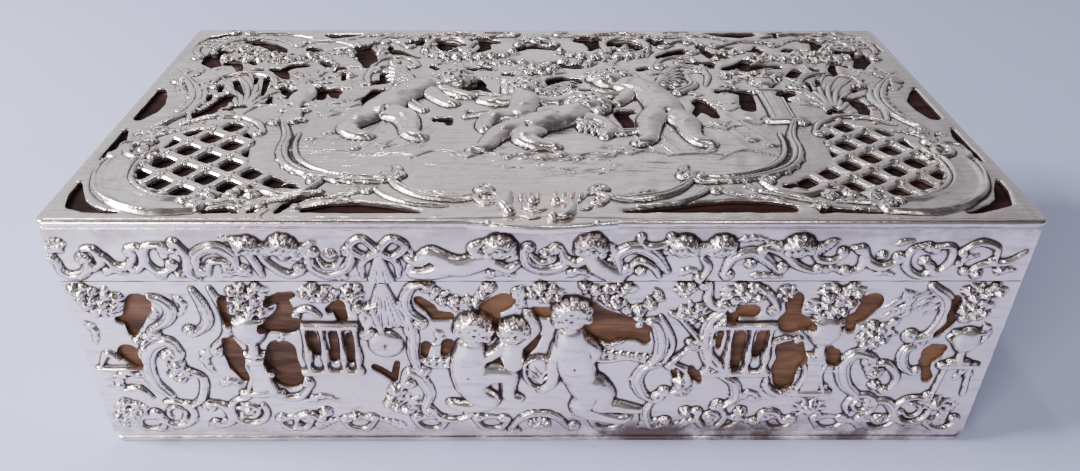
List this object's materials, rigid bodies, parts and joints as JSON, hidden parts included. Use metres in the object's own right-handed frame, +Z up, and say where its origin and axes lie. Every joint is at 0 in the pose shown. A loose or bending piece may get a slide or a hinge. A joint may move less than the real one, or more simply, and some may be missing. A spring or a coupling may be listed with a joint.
{
  "type": "silver casket",
  "caption": "Rectangular silver casket, pierced and embossed all over, with a hinged flat lid and a wooden lining seen through the openings.",
  "frame": {"origin": "middle of the foot's underside, on the table", "axes": "+Z up, -Y towards the front with the thumb piece, X along the length"},
  "size_m": [0.27, 0.1484, 0.0874],
  "materials": {
    "silver": "bright polished silver, darkened in the recesses",
    "wood": "oiled brown wood with the grain along the box",
    "lid_wood": "dark reddish-brown wood"
  },
  "bodies": {
    "chest": {"base_plate": "silver", "foot_front": "silver", "foot_back": "silver", "foot_left": "silver", "foot_right": "silver", "wall_front": "silver", "wall_back": "silver", "wall_left": "silver", "wall_right": "silver", "lining_floor": "wood", "lining_front": "wood", "lining_back": "wood", "lining_left": "wood", "lining_right": "wood", "hinge_leaf_body": "silver", "hinge_pin": "silver"},
    "lid": {"lid_top": "silver", "lid_edge_front": "silver", "lid_edge_back": "silver", "lid_edge_left": "silver", "lid_edge_right": "silver", "lid_skirt_front": "silver", "lid_skirt_back": "silver", "lid_skirt_left": "silver", "lid_skirt_right": "silver", "lid_lining_board": "lid_wood", "lid_lining_front": "lid_wood", "lid_lining_back": "lid_wood", "lid_lining_left": "lid_wood", "lid_lining_right": "lid_wood", "hinge_leaf_lid": "silver", "thumb_piece": "silver"}
  },
  "joints": [
    {"name": "lid_hinge", "type": "hinge", "parent": "chest", "child": "lid", "pos_m": [0, 0.0723, 0.06345], "axis": [-1, 0, 0], "range_deg": [0, 100]}
  ]
}
